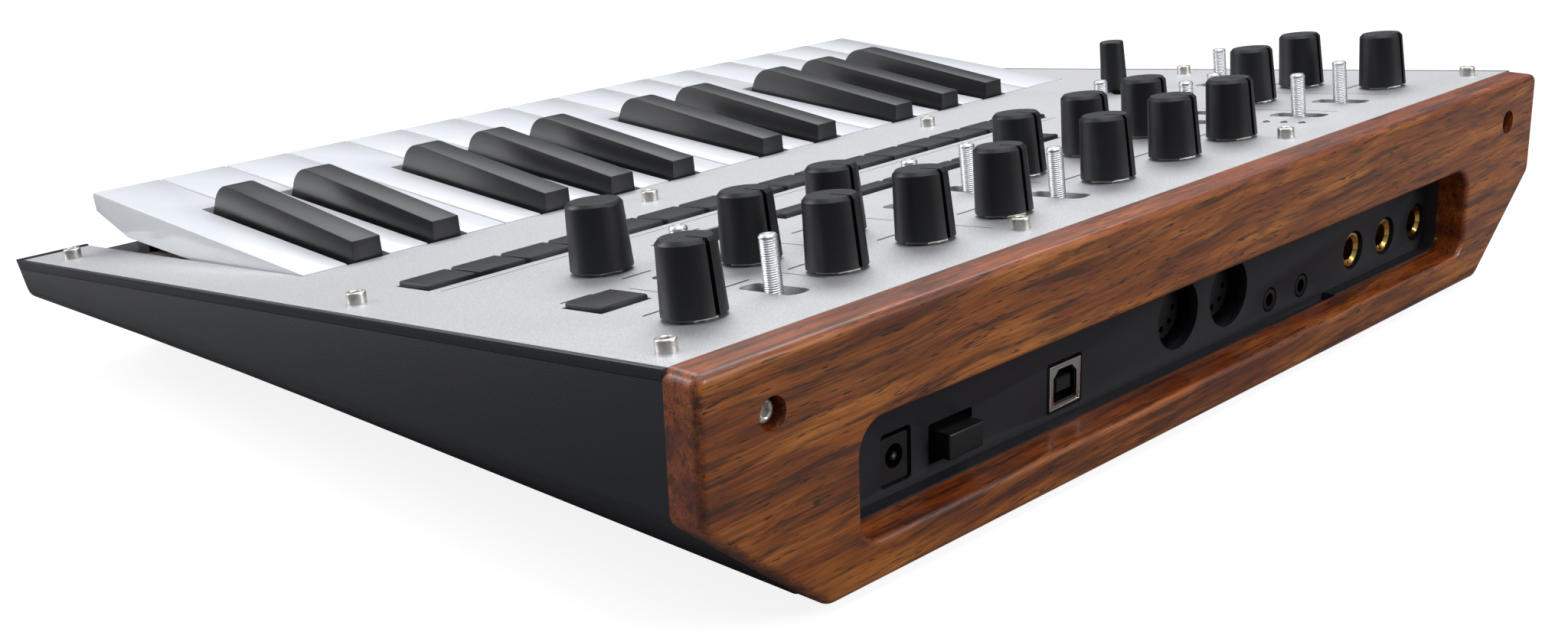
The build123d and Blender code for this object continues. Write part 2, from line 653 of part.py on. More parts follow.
# ---------------------------------------------------------------- moulded sockets along the rear
with BuildPart() as rear_sockets:
    # power inlet
    with BuildSketch(rear_view(112)):
        with Locations((-INLET_X, 19.5)):
            RectangleRounded(8.6, 10.4, 0.6)
    extrude(amount=11.9)
    with BuildSketch(rear_view(112)):
        with Locations((-INLET_X, (SOCKET_FLOOR + 14.4) / 2)):
            Rectangle(8.6, 14.4 - SOCKET_FLOOR)
    extrude(amount=9.6)
    with BuildSketch(rear_view(114)):
        with Locations((-INLET_X, INLET_Z)):
            Circle(2.75)
            Circle(0.95, mode=Mode.SUBTRACT)
    extrude(amount=12, mode=Mode.SUBTRACT)
    # power switch body
    with BuildSketch(rear_view(108)):
        with Locations((-SWITCH_X, (SOCKET_FLOOR + 25.2) / 2)):
            Rectangle(13.8, 25.2 - SOCKET_FLOOR)
    extrude(amount=13.6)
    with BuildSketch(rear_view(109.5)):
        with Locations((-SWITCH_X, SWITCH_Z)):
            Rectangle(12.2, 6.6)
    extrude(amount=14, mode=Mode.SUBTRACT)
    # two five-pin round sockets
    for mx in midi_xs:
        with BuildSketch(rear_view(110)):
            with Locations((-mx, (SOCKET_FLOOR + 33.6) / 2)):
                Rectangle(20.5, 33.6 - SOCKET_FLOOR)
        extrude(amount=11.8)
        with BuildSketch(rear_view(112)):
            with Locations((-mx, MIDI_Z)):
                Circle(MIDI_R - 0.3)
                Circle(MIDI_DISC_R, mode=Mode.SUBTRACT)
        extrude(amount=12, mode=Mode.SUBTRACT)
        with BuildSketch(rear_view(MIDI_DISC_Y)):
            with Locations((-mx, MIDI_Z)):
                Circle(MIDI_DISC_R + 0.01)
        extrude(amount=4, mode=Mode.SUBTRACT)
        with BuildSketch(rear_view(114)):
            with Locations((-mx, MIDI_Z)):
                with PolarLocations(4.9, 5, start_angle=180, angular_range=180, endpoint=True):
                    Circle(0.85)
                with Locations((0, 6.6)):
                    Rectangle(2.6, 2.2)
        extrude(amount=8, mode=Mode.SUBTRACT)
    # two small sync sockets
    for sx in sync_xs:
        with BuildSketch(rear_view(112)):
            with Locations((-sx, (SOCKET_FLOOR + 22.2) / 2)):
                Rectangle(8, 22.2 - SOCKET_FLOOR)
        extrude(amount=9.8)
        with BuildSketch(rear_view(121.8)):
            with Locations((-sx, SYNC_Z)):
                Circle(2.9)
        extrude(amount=2.6)
        with BuildSketch(rear_view(113)):
            with Locations((-sx, SYNC_Z)):
                Circle(SYNC_BORE_R)
        extrude(amount=14, mode=Mode.SUBTRACT)
    # bodies of the three headphone-size sockets
    for ax in audio_xs:
        with BuildSketch(rear_view(98)):
            with Locations((-ax, (SOCKET_FLOOR + 28.0) / 2)):
                Rectangle(14.5, 28.0 - SOCKET_FLOOR)
        extrude(amount=23.6)
        with BuildSketch(rear_view(97)):
            with Locations((-ax, AUDIO_Z)):
                Circle(BUSHING_R + 0.1)
        extrude(amount=28, mode=Mode.SUBTRACT)
rear_sockets.part.label = "rear_sockets"
export_step(rear_sockets.part, "parts/rear_sockets.step")

# ---------------------------------------------------------------- metal socket shells
with BuildPart() as usb_port:
    with BuildSketch(rear_view(108.5)):
        with Locations((-USB_X, USB_Z)):
            Rectangle(12.0, 10.9)
            Rectangle(10.8, 9.7, mode=Mode.SUBTRACT)
    extrude(amount=16.3)
    with BuildSketch(rear_view(108.5)):
        with Locations((-USB_X, USB_Z)):
            Rectangle(10.8, 9.7)
    extrude(amount=2)
    with BuildSketch(rear_view(110.5)):
        with Locations((-USB_X, USB_Z)):
            Rectangle(5.6, 3.2)
    extrude(amount=12.5)
    with BuildSketch(Plane.XY.offset(SOCKET_FLOOR)):
        with Locations((USB_X, 114)):
            Rectangle(12, 9)
    extrude(amount=4.5)
usb_port.part.label = "usb_port"
export_step(usb_port.part, "parts/usb_port.step")

with BuildPart() as jack_bushings:
    for ax in audio_xs:
        with BuildSketch(rear_view(104)):
            with Locations((-ax, AUDIO_Z)):
                Circle(BUSHING_R)
                Circle(AUDIO_BORE_R, mode=Mode.SUBTRACT)
        extrude(amount=19.7)
    chamfer(
        jack_bushings.faces().group_by(Axis.Y)[-1].edges().filter_by(lambda e: e.radius < 4), 0.9,
    )
jack_bushings.part.label = "jack_bushings"
export_step(jack_bushings.part, "parts/jack_bushings.step")

# ---------------------------------------------------------------- display window
with BuildPart() as display_window:
    with BuildSketch(panel(DISPLAY_X, DISPLAY_Y, -PLATE_T)):
        RectangleRounded(DISPLAY_W - 0.2, DISPLAY_D - 0.2, 0.9)
    extrude(amount=PLATE_T - 0.2)
    with BuildSketch(panel(DISPLAY_X, DISPLAY_Y, -PLATE_T)):
        Rectangle(DISPLAY_W + 3, DISPLAY_D + 1.6)
    extrude(amount=-1.4)
display_window.part.label = "display_window"
export_step(display_window.part, "parts/display_window.step")

# ---------------------------------------------------------------- power push button
with BuildPart() as power_button:
    with BuildSketch(rear_view(112.6)):
        with Locations((-SWITCH_X, SWITCH_Z)):
            Rectangle(11.6, 6.0)
    extrude(amount=16.6)
    chamfer(power_button.faces().sort_by(Axis.Y)[-1].edges(), 0.3)
power_button.part.label = "power_button"
export_step(power_button.part, "parts/power_button.step")

# ---------------------------------------------------------------- spring-back slider lever
with BuildPart() as slider_lever:
    with BuildSketch(panel(SLIDER_X, SLIDER_Y, 0.8)):
        Circle(4.4)
    extrude(amount=15.7, taper=2.0)
    fillet(slider_lever.faces().sort_by(Axis.Z)[-1].edges(), 0.8)
    with BuildSketch(panel(SLIDER_X, SLIDER_Y, -10.0, SLIDER_TURN)):
        Rectangle(5.0, 2.6)
    extrude(amount=11.5)
slider_lever.part.label = "slider_lever"
export_step(slider_lever.part, "parts/slider_lever.step")

# ---------------------------------------------------------------- push buttons
button_caps = [(STEP_X0 - STEP_PITCH * i, STEP_Y, STEP_W, STEP_D) for i in range(16)]
button_caps += [(FUNC_X0 - FUNC_PITCH * i, FUNC_Y, FUNC_W, FUNC_D) for i in range(8)]
button_caps += [(HOLD_X, HOLD_Y, HOLD_W, HOLD_D)]
with BuildPart() as panel_buttons:
    for x, y, w, d in button_caps:
        with BuildSketch(panel(x, y, -BUTTON_DEPTH)):
            Rectangle(w, d)
        extrude(amount=BUTTON_DEPTH + BUTTON_RISE)
    for face in panel_buttons.faces().filter_by(Axis((0, 0, 0), panel(0, 0).z_dir)):
        if panel(0, 0).to_local_coords(face.center()).Z > BUTTON_RISE / 2:
            chamfer(face.edges(), 0.3)
    # the stud under each cap reaches its switch on the board
    for x, y, w, d in button_caps:
        with BuildSketch(panel(x, y, STUD_FOOT)):
            Circle(STUD_R)
        extrude(amount=-STUD_FOOT - BUTTON_DEPTH + 0.2)
panel_buttons.part.label = "panel_buttons"
export_step(panel_buttons.part, "parts/panel_buttons.step")

# ---------------------------------------------------------------- toggle levers, one node for each row
for name, row_y, xs in lever_rows:
    with BuildPart() as levers:
        for x in xs:
            with BuildSketch(panel(x, row_y, LEVER_PIVOT)):
                Circle(LEVER_R)
            extrude(amount=LEVER_TOP - LEVER_PIVOT)
        for face in levers.faces():
            if panel(0, 0).to_local_coords(face.center()).Z > LEVER_TOP - 0.01:
                chamfer(face.edges(), 0.35)
        for x in xs:
            with Locations(panel(x, row_y, LEVER_PIVOT)):
                Sphere(LEVER_R)
    levers.part.label = name
    export_step(levers.part, "parts/" + name + ".step")

# ---------------------------------------------------------------- knobs
for name, kx, ky in knob_spots:
    with BuildPart() as knob:
        with BuildSketch(panel(kx, ky, KNOB_LIFT)):
            Circle(KNOB_R)
        with BuildSketch(panel(kx, ky, KNOB_TOP)):
            Circle(KNOB_TOP_R)
        loft()
        chamfer(knob.faces().sort_by(Axis.Z)[-1].edges(), 0.9, 0.75)
        # pointer groove down the rear side, and the fine line across the top
        with BuildSketch(panel(kx, ky, KNOB_LIFT - 1)):
            with Locations((0, KNOB_R)):
                Rectangle(1.1, 3.0)
        extrude(amount=20, mode=Mode.SUBTRACT)
        with BuildSketch(panel(kx, ky, KNOB_TOP - 0.6)):
            with Locations((0, KNOB_R / 2)):
                Rectangle(0.55, KNOB_R)
        extrude(amount=2, mode=Mode.SUBTRACT)
        # stem in the body below the plate
        with BuildSketch(panel(kx, ky, -10.6)):
            Circle(SHAFT_R)
        extrude(amount=12.6)
    knob.part.label = "knob_" + name
    export_step(knob.part, "parts/knob_" + name + ".step")

with BuildPart() as encoder_knob:
    with BuildSketch(panel(encoder_spot[1], encoder_spot[2], KNOB_LIFT)):
        Circle(KNOB_R + 0.35)
    with BuildSketch(panel(encoder_spot[1], encoder_spot[2], KNOB_TOP)):
        Circle(KNOB_TOP_R + 0.3)
    loft()
    chamfer(encoder_knob.faces().sort_by(Axis.Z)[-1].edges(), 0.9, 0.75)
    with BuildSketch(panel(encoder_spot[1], encoder_spot[2], -10.6)):
        Circle(SHAFT_R)
    extrude(amount=12.6)
encoder_knob.part.label = "encoder_knob"
export_step(encoder_knob.part, "parts/encoder_knob.step")
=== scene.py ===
# %% [markdown]
# # A desktop synthesizer seen from behind
#
# The body of this instrument comes ready made: every part of it is loaded as a fixed frame, in metres, with the
# player at -Y, the sockets at +Y and the keyboard along X. This lesson gives those parts their real finishes,
# softens their moulded edges, and adds the small things that are too fine for the engineering model: the thread
# on the toggles, the thin print on the panel and the contacts inside the sockets.

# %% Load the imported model
import json
import math
import random

import bmesh
import bpy
from mathutils import Matrix, Vector

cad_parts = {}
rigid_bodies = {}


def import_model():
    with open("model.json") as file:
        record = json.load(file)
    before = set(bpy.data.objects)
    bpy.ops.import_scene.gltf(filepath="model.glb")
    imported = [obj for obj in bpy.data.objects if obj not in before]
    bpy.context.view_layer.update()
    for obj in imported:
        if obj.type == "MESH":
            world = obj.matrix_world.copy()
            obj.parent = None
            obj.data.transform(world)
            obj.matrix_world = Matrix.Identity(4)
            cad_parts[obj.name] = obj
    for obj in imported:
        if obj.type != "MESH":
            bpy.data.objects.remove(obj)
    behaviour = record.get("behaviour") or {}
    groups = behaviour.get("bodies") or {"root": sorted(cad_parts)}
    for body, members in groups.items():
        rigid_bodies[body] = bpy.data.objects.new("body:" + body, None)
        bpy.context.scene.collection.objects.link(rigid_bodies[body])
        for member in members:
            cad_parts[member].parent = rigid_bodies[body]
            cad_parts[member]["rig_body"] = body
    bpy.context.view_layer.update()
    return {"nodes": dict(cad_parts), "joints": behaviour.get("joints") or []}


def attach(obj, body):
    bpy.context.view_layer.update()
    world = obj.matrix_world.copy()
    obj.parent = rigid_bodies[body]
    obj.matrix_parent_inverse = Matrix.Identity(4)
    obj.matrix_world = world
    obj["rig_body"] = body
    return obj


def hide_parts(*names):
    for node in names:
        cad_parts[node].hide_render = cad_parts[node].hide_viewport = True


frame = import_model()
nodes = frame["nodes"]
joints = {joint["name"]: joint for joint in frame["joints"]}
MM = 0.001

# %% [markdown]
# ## The sloping panel
#
# Every knob turns about the panel's own normal, so a knob's joint says where the panel is and how it leans. One
# function then turns a place on the panel, in millimetres, into a point in space.

# %% Find the panel
panel_normal = Vector(joints["knob_volume_turn"]["axis"]).normalized()
panel_origin = Vector(joints["knob_volume_turn"]["pos_m"])
panel_slope = -panel_normal.y / panel_normal.z


def on_panel(x, y, lift=0.0):
    """A point above plan position x, y on the panel, raised by lift along its normal, all in millimetres."""
    rise = (y * MM - panel_origin.y) * panel_slope
    return Vector((x * MM, y * MM, panel_origin.z + rise)) + panel_normal * lift * MM


print("panel slope in degrees:", round(math.degrees(math.atan(panel_slope)), 2))

# %% [markdown]
# ## Camera
#
# A photographer stands close to the rear left corner and looks a little down along the body, with a normal lens.
# The lens is given in millimetres on a 36 mm wide sensor, and the small shift puts the object where it belongs in
# the picture without turning the camera.

# %% Camera
CAMERA_PLACE = (0.382606, 0.366829, 0.17074)
CAMERA_YAW, CAMERA_PITCH, CAMERA_ROLL = (math.radians(a) for a in (227.052, -18.506, -1.354))
SENSOR_WIDTH, LENS = 36.0, 43.08
SHIFT_X, SHIFT_Y = -0.0408, 0.009
NEAREST = 0.01

look = Vector((
    math.sin(CAMERA_YAW) * math.cos(CAMERA_PITCH),
    math.cos(CAMERA_YAW) * math.cos(CAMERA_PITCH),
    math.sin(CAMERA_PITCH),
))
level_right = Vector((math.cos(CAMERA_YAW), -math.sin(CAMERA_YAW), 0))
level_up = level_right.cross(look)
right = level_right * math.cos(CAMERA_ROLL) + level_up * math.sin(CAMERA_ROLL)
up = level_up * math.cos(CAMERA_ROLL) - level_right * math.sin(CAMERA_ROLL)

camera_data = bpy.data.cameras.new("camera")
camera_data.sensor_width, camera_data.lens = SENSOR_WIDTH, LENS
camera_data.shift_x, camera_data.shift_y = SHIFT_X, SHIFT_Y
camera_data.clip_start = NEAREST
camera = bpy.data.objects.new("camera", camera_data)
camera.matrix_world = Matrix.Translation(CAMERA_PLACE) @ Matrix((right, up, -look)).transposed().to_4x4()
bpy.context.scene.collection.objects.link(camera)
bpy.context.scene.camera = camera
print("camera at", [round(v, 3) for v in camera.location])

# %% [markdown]
# ## Room and lights
#
# A plain white table top runs out to every side, lit from below like a product photographer's acrylic table. A
# white table would also throw its light up into every dark side of the object, so a photographer flags it off:
# here only the rays that reach the camera see the glow, and the object stands on mid grey. The light is a soft
# tent: a sky that is bright overhead and dark at the horizon, one wide panel overhead, and one on each side to
# draw a long highlight down the knobs. None of them is hard enough to draw a shadow with an edge.

# %% Helpers for new objects
def new_object(name, mesh):
    piece = bpy.data.objects.new(name, mesh)
    bpy.context.scene.collection.objects.link(piece)
    return piece


def mesh_from(name, shape):
    """Closes a bmesh into a mesh datablock."""
    mesh = bpy.data.meshes.new(name)
    shape.to_mesh(mesh)
    shape.free()
    return mesh


# %% Colours and shader nodes
def colour(hex_code):
    """The linear colour of an sRGB hex value."""
    channels = [int(hex_code[i:i + 2], 16) / 255 for i in (1, 3, 5)]
    return tuple(c / 12.92 if c <= 0.04045 else ((c + 0.055) / 1.055) ** 2.4 for c in channels) + (1.0,)


def add(tree, kind, inputs=None, **settings):
    """Adds one shader node. A value in inputs is either a plain number or colour, or an output to link from."""
    node = tree.nodes.new(kind)
    for name, value in settings.items():
        setattr(node, name, value)
    for name, value in (inputs or {}).items():
        if isinstance(value, bpy.types.NodeSocket):
            tree.links.new(value, node.inputs[name])
        else:
            node.inputs[name].default_value = value
    return node


def new_material(name):
    """An empty material with its output node, and the tree to build in."""
    material = bpy.data.materials.new(name)
    material.use_nodes = True
    tree = material.node_tree
    tree.nodes.clear()
    output = tree.nodes.new("ShaderNodeOutputMaterial")
    return material, tree, output


# %% Table top and lights
TABLE_SIZE = 12.0
TABLE_GLOW = 0.86
table_shape = bmesh.new()
bmesh.ops.create_grid(table_shape, x_segments=2, y_segments=2, size=TABLE_SIZE / 2)
table = new_object("table_top", mesh_from("table_top", table_shape))
table_paper, tree, output = new_material("backlit white acrylic")
lit = add(tree, "ShaderNodeBsdfPrincipled", {
    "Base Color": colour("#8C8C8C"), "Roughness": 0.9,
    "Emission Color": colour("#FFFFFF"), "Emission Strength": TABLE_GLOW,
})
flagged = add(tree, "ShaderNodeBsdfPrincipled", {"Base Color": colour("#7C7C7E"), "Roughness": 0.9})
seen = add(tree, "ShaderNodeLightPath")
flag = add(tree, "ShaderNodeMixShader", {"Fac": seen.outputs["Is Camera Ray"]})
tree.links.new(flagged.outputs["BSDF"], flag.inputs[1])
tree.links.new(lit.outputs["BSDF"], flag.inputs[2])
tree.links.new(flag.outputs["Shader"], output.inputs["Surface"])
table.data.materials.append(table_paper)


def softbox(name, place, width, height, watts):
    """A rectangular area light aimed at the middle of the object."""
    light = bpy.data.lights.new(name, "AREA")
    light.shape = "RECTANGLE"
    light.size, light.size_y = width, height
    light.energy = watts
    lamp = bpy.data.objects.new(name, light)
    aim = Vector(OBJECT_MIDDLE) - Vector(place)
    lamp.rotation_euler = aim.to_track_quat("-Z", "Y").to_euler()
    lamp.location = place
    bpy.context.scene.collection.objects.link(lamp)


OBJECT_MIDDLE = (0, 0, 0.03)
softbox("far softbox", (-0.75, -0.7, 1.25), 1.3, 1.0, 11.0)
softbox("overhead softbox", (0.1, 0.3, 1.5), 1.2, 1.0, 7.0)
softbox("left softbox", (0.8, -1.2, 0.65), 0.6, 0.9, 13.0)
softbox("right softbox", (-0.7, 1.5, 0.9), 0.6, 0.6, 14.0)

world = bpy.data.worlds.new("studio tent")
bpy.context.scene.world = world
world.use_nodes = True
sky = world.node_tree
direction = add(sky, "ShaderNodeTexCoord")
height = add(sky, "ShaderNodeSeparateXYZ", {"Vector": direction.outputs["Generated"]})
glow = add(sky, "ShaderNodeMapRange", {
    "Value": height.outputs["Z"], "From Min": 0.15, "From Max": 0.85, "To Min": 0.12, "To Max": 0.6,
})
sky.nodes["Background"].inputs["Color"].default_value = colour("#EEF4FF")
sky.links.new(glow.outputs["Result"], sky.nodes["Background"].inputs["Strength"])
bpy.context.scene.view_settings.view_transform = "Standard"

# %% [markdown]
# ## Plastic finishes
#
# The case, frame and socket wall are ABS, moulded in a spark-eroded tool that leaves a grain of about a third of
# a millimetre. Grain makes a highlight break up and spread, so it is a bump; the roughness wanders a little in
# broad clouds of its own. Typical ABS has an IOR of 1.52. The grain is drawn a little coarser than it is, to show
# at all.

# %% Moulded plastic
def moulded_plastic(name, hex_code, roughness, grain_mm, grain_depth, lighter=0.0):
    """Plastic from a textured tool. Lighter is how much paler the colour runs on the grain's high points, and how
    much darker in its hollows.
    """
    material, tree, output = new_material(name)
    place = add(tree, "ShaderNodeTexCoord")
    grain = add(tree, "ShaderNodeTexNoise", {
        "Vector": place.outputs["Object"], "Scale": 1 / (grain_mm * MM), "Detail": 2.0, "Roughness": 0.6,
    })
    cloud = add(tree, "ShaderNodeTexNoise", {"Vector": place.outputs["Object"], "Scale": 28.0, "Detail": 3.0})
    gloss = add(tree, "ShaderNodeMapRange", {
        "Value": cloud.outputs["Fac"], "To Min": roughness - 0.05, "To Max": roughness + 0.05,
    })
    tint = add(tree, "ShaderNodeVectorMath", {1: colour(hex_code)[:3]}, operation="MULTIPLY")
    # The colour runs paler on the grain's high points and darker in its hollows, by lighter either way.
    grain_height_tone = add(tree, "ShaderNodeMapRange", {
        "Value": grain.outputs["Fac"], "To Min": 1 - lighter, "To Max": 1 + lighter,
    })
    tree.links.new(grain_height_tone.outputs["Result"], tint.inputs[0])
    bump = add(tree, "ShaderNodeBump", {
        "Height": grain.outputs["Fac"], "Strength": grain_depth, "Distance": grain_mm * MM * 0.2,
    })
    shell = add(tree, "ShaderNodeBsdfPrincipled", {
        "Base Color": tint.outputs[0], "Roughness": gloss.outputs["Result"], "IOR": 1.52,
        "Normal": bump.outputs["Normal"],
    })
    tree.links.new(shell.outputs["BSDF"], output.inputs["Surface"])
    return material


case_abs = moulded_plastic("grained slate-grey ABS", "#1B1C22", 0.5, 0.45, 0.5, 0.3)
knob_abs = moulded_plastic("fine satin black ABS", "#07070B", 0.43, 0.3, 0.2, 0.2)
socket_abs = moulded_plastic("smooth black socket plastic", "#0C0C0E", 0.36, 0.6, 0.1)
frame_abs = moulded_plastic("matt black frame plastic", "#0E0E10", 0.55, 0.5, 0.3)
button_rubber = moulded_plastic("matt black silicone rubber", "#070709", 0.5, 0.5, 0.25, 0.2)
foot_rubber = moulded_plastic("soft black foot rubber", "#101010", 0.8, 0.8, 0.5)
black_key_abs = moulded_plastic("satin black key plastic", "#08080C", 0.36, 0.35, 0.1, 0.1)
white_key_abs = moulded_plastic("glossy white key plastic", "#E4E6E9", 0.16, 4.0, 0.03)
print("plastics made:", len([m for m in bpy.data.materials if "plastic" in m.name or "ABS" in m.name]))

# %% [markdown]
# ## Aluminium plate
#
# The plate is 2 mm aluminium, bead-blasted and clear-anodised. Blasting leaves tiny craters that scatter light
# evenly, so it shines like silver paper instead of like a mirror: full metal, a roughness near 0.55, and a fine
# sparkle in both the bump and the colour. The plated and turned metals use the same recipe, only smoother. A metal
# keeps the default IOR.

# %% Blasted aluminium
def blasted_metal(name, hex_dark, hex_light, roughness, grit_mm, depth):
    """Bare or plated metal, with craters grit_mm wide and a colour that runs between two greys."""
    material, tree, output = new_material(name)
    place = add(tree, "ShaderNodeTexCoord")
    grit = add(tree, "ShaderNodeTexNoise", {
        "Vector": place.outputs["Object"], "Scale": 1 / (grit_mm * MM), "Detail": 1.5, "Roughness": 0.7,
    })
    sparkle = add(tree, "ShaderNodeMapRange", {"Value": grit.outputs["Fac"], "From Min": 0.3, "From Max": 0.7})
    tint = add(tree, "ShaderNodeMix", {
        "Factor": sparkle.outputs["Result"], "A": colour(hex_dark), "B": colour(hex_light),
    }, data_type="RGBA")
    bump = add(tree, "ShaderNodeBump", {
        "Height": grit.outputs["Fac"], "Strength": depth, "Distance": grit_mm * MM * 0.15,
    })
    skin = add(tree, "ShaderNodeBsdfPrincipled", {
        "Base Color": tint.outputs["Result"], "Metallic": 1.0, "Roughness": roughness,
        "Normal": bump.outputs["Normal"],
    })
    tree.links.new(skin.outputs["BSDF"], output.inputs["Surface"])
    return material


plate_metal = blasted_metal("bead-blasted clear-anodised aluminium", "#BCBDBE", "#DADADB", 0.56, 0.35, 0.35)
screw_metal = blasted_metal("dull nickel plate", "#CFCAC2", "#E6E2DB", 0.36, 0.8, 0.08)
lever_metal = blasted_metal("turned bright steel", "#DDDEE0", "#F4F5F6", 0.34, 0.5, 0.05)
port_metal = blasted_metal("nickel-plated sheet steel", "#C4C0B8", "#D8D4CC", 0.24, 0.7, 0.1)
gold_plate = blasted_metal("polished gold plate", "#D9A94C", "#F2CF7E", 0.16, 0.9, 0.05)
print("metals made:", plate_metal.name)

# %% [markdown]
# ## Rosewood-stained panel
#
# The rear panel is open-pored hardwood, stained a warm red-brown and lacquered. Wood is a bundle of fibres along
# one direction, here X, so each pattern is the same noise stretched four to twenty-six times along X: broad dark
# bands of late wood, thin streaks, fine fibres, and short open pores that also catch the light as dents. The
# lacquer is a thin coat with its own gloss. Every face that does not face straight back or forward, such as the
# top, the rounded edges and the inside of the window, is painted darker and redder by the way it faces: painted
# shade.

# %% Lacquered wood
def lacquered_wood(name):
    """Stained hardwood whose fibres run along X, under a thin coat of lacquer."""
    material, tree, output = new_material(name)
    place = add(tree, "ShaderNodeTexCoord")
    lean = add(tree, "ShaderNodeMapping", {
        "Vector": place.outputs["Object"], "Rotation": (0, math.radians(-2.5), 0),
    })
    drift = add(tree, "ShaderNodeTexNoise", {"Vector": lean.outputs["Vector"], "Scale": 14.0, "Detail": 2.0})
    bend = add(tree, "ShaderNodeVectorMath", {0: drift.outputs["Color"], 1: (0.5, 0.5, 0.5)}, operation="SUBTRACT")
    amount = add(tree, "ShaderNodeVectorMath", {0: bend.outputs[0], 1: (0.0, 0.003, 0.006)}, operation="MULTIPLY")
    grain = add(tree, "ShaderNodeVectorMath", {0: lean.outputs["Vector"], 1: amount.outputs[0]}, operation="ADD")

    def stretched(across_mm, length_ratio, detail, rough=0.55):
        """Noise whose spots are across_mm wide and length_ratio times as long along the fibres."""
        squeeze = add(tree, "ShaderNodeVectorMath", {
            0: grain.outputs[0], 1: (1 / length_ratio, 1.0, 1.0),
        }, operation="MULTIPLY")
        return add(tree, "ShaderNodeTexNoise", {
            "Vector": squeeze.outputs[0], "Scale": 1 / (across_mm * MM), "Detail": detail, "Roughness": rough,
        })

    def between(value, low, high, out_low, out_high):
        return add(tree, "ShaderNodeMapRange", {
            "Value": value, "From Min": low, "From Max": high, "To Min": out_low, "To Max": out_high,
        }).outputs["Result"]

    def stained(under, factor, hex_code, **how):
        mix = add(tree, "ShaderNodeMix", {"Factor": factor}, data_type="RGBA", **how)
        tree.links.new(under, mix.inputs["A"])
        mix.inputs["B"].default_value = colour(hex_code)
        return mix.outputs["Result"]

    clouds = stretched(14.0, 4.0, 3.0)
    bands = stretched(5.5, 9.0, 4.0)
    late_wood = stretched(2.4, 17.0, 5.0, 0.62)
    streaks = stretched(1.1, 22.0, 3.0, 0.6)
    fibres = stretched(0.45, 26.0, 2.0, 0.6)
    pores = stretched(0.5, 11.0, 1.0)

    body = add(tree, "ShaderNodeValToRGB", {"Fac": bands.outputs["Fac"]})
    dark_end, pale_end = body.color_ramp.elements
    dark_end.position, dark_end.color = 0.32, colour("#6E340A")
    pale_end.position, pale_end.color = 0.68, colour("#B66E2A")
    body.color_ramp.elements.new(0.5).color = colour("#965012")
    wood_colour = stained(body.outputs["Color"], between(clouds.outputs["Fac"], 0.5, 0.68, 0.0, 0.55), "#52220F")
    wood_colour = stained(wood_colour, between(late_wood.outputs["Fac"], 0.52, 0.62, 0.0, 0.75), "#3A1A09")
    wood_colour = stained(wood_colour, between(streaks.outputs["Fac"], 0.53, 0.66, 0.0, 0.6), "#4A210C")
    fine = between(fibres.outputs["Fac"], 0.3, 0.7, 0.66, 1.3)
    fibred = add(tree, "ShaderNodeVectorMath", {0: wood_colour, 1: fine}, operation="MULTIPLY")
    pit = between(pores.outputs["Fac"], 0.64, 0.7, 0.0, 0.85)
    wood_colour = stained(fibred.outputs[0], pit, "#1C0B05")

    # Painted shade: faces that do not face straight back or forward (the top, the rounded edges, the ends and the
    # inside of the window) are multiplied darker and redder by the way they face.
    facing = add(tree, "ShaderNodeNewGeometry")
    turned = add(tree, "ShaderNodeSeparateXYZ", {"Vector": facing.outputs["Normal"]})
    flat = add(tree, "ShaderNodeMath", {0: turned.outputs["Y"]}, operation="ABSOLUTE")
    edge = between(flat.outputs[0], 0.97, 0.55, 0.0, 0.6)
    wood_colour = stained(wood_colour, edge, "#F4C284", blend_type="MULTIPLY")

    relief = add(tree, "ShaderNodeMath", {0: fibres.outputs["Fac"], 1: pit}, operation="SUBTRACT")
    bump = add(tree, "ShaderNodeBump", {"Height": relief.outputs[0], "Strength": 0.3, "Distance": 0.1 * MM})
    timber = add(tree, "ShaderNodeBsdfPrincipled", {
        "Base Color": wood_colour, "Roughness": 0.42, "IOR": 1.5, "Normal": bump.outputs["Normal"],
        "Coat Weight": 0.25, "Coat Roughness": 0.12,
    })
    tree.links.new(timber.outputs["BSDF"], output.inputs["Surface"])
    return material


rosewood = lacquered_wood("lacquered rosewood-stained oak")
print("wood made:", rosewood.name)

# %% [markdown]
# ## Felt, glass and boards
#
# Felt is matted fibre: rough, slightly fuzzy, with a soft sheen. The display window is acrylic over black, so it
# is simply a very dark, very smooth surface. The boards inside are glass-fibre laminate under a dark green mask.

# %% Small finishes
def felt(name, hex_code):
    """Matted wool: a fluffy bump, and a sheen where it is seen edge-on."""
    material, tree, output = new_material(name)
    place = add(tree, "ShaderNodeTexCoord")
    fluff = add(tree, "ShaderNodeTexNoise", {"Vector": place.outputs["Object"], "Scale": 1800.0, "Detail": 5.0})
    dark, light = [tuple(c * share for c in colour(hex_code)[:3]) + (1,) for share in (0.6, 1.4)]
    shade = add(tree, "ShaderNodeMix", {"Factor": fluff.outputs["Fac"], "A": dark, "B": light}, data_type="RGBA")
    bump = add(tree, "ShaderNodeBump", {"Height": fluff.outputs["Fac"], "Strength": 0.8, "Distance": 0.4 * MM})
    cloth = add(tree, "ShaderNodeBsdfPrincipled", {
        "Base Color": shade.outputs["Result"], "Roughness": 0.95, "Sheen Weight": 0.4,
        "Normal": bump.outputs["Normal"],
    })
    tree.links.new(cloth.outputs["BSDF"], output.inputs["Surface"])
    return material


key_felt = felt("matted brown wool felt", "#5E4230")
window_acrylic = moulded_plastic("smoked black acrylic", "#050506", 0.08, 6.0, 0.01)
board_laminate = moulded_plastic("dark solder-masked laminate", "#101512", 0.4, 0.9, 0.2, 0.2)

# %% [markdown]
# ## Finishes on the loaded parts
#
# Each part keeps its own shape, and takes the finish of what it is made of.

